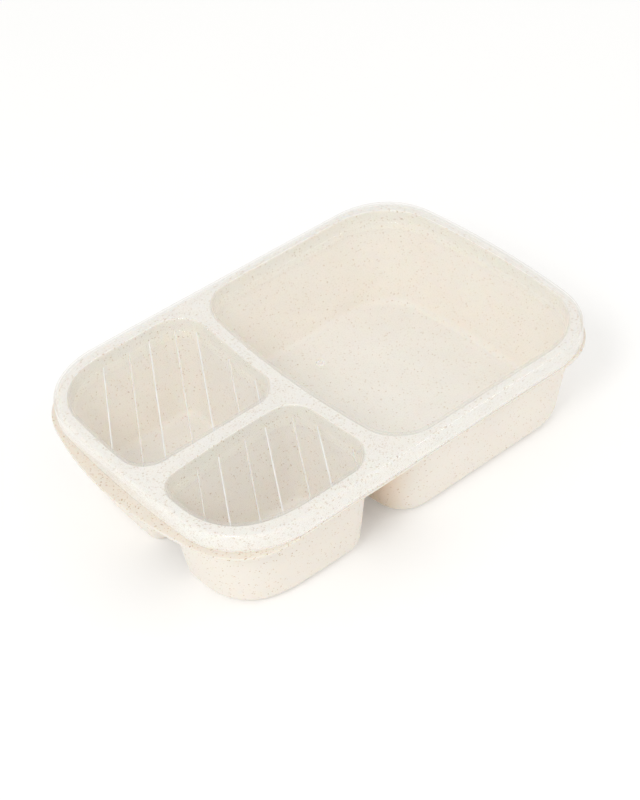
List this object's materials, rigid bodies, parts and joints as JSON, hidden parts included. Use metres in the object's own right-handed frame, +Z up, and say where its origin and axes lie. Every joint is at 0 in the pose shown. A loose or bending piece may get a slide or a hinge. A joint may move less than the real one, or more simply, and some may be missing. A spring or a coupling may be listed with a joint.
{
  "type": "lunch box",
  "caption": "Divided lunch box: moulded tray with separate tapered food cups under one deck, closed by a clear push-on lid with recessed panels and finger tabs at both ends.",
  "frame": {"origin": "on the table under the middle of the lid, at the bottom centre of the bounding box", "axes": "+Z up; +X toward the end with the big cup; -Y is the long side nearest the smallest cup"},
  "size_m": [0.241, 0.1572, 0.0555],
  "materials": {
    "tray": "warm ivory plastic with fine brown plant-fibre specks, satin",
    "lid": "clear, faintly milky, smooth and glossy"
  },
  "bodies": {
    "tray": {"tray": "tray"},
    "lid": {"lid": "lid"}
  },
  "joints": [
    {"name": "lid_lift", "type": "slide", "parent": "tray", "child": "lid", "axis": [0, 0, 1], "range_m": [0, 0.08]}
  ]
}
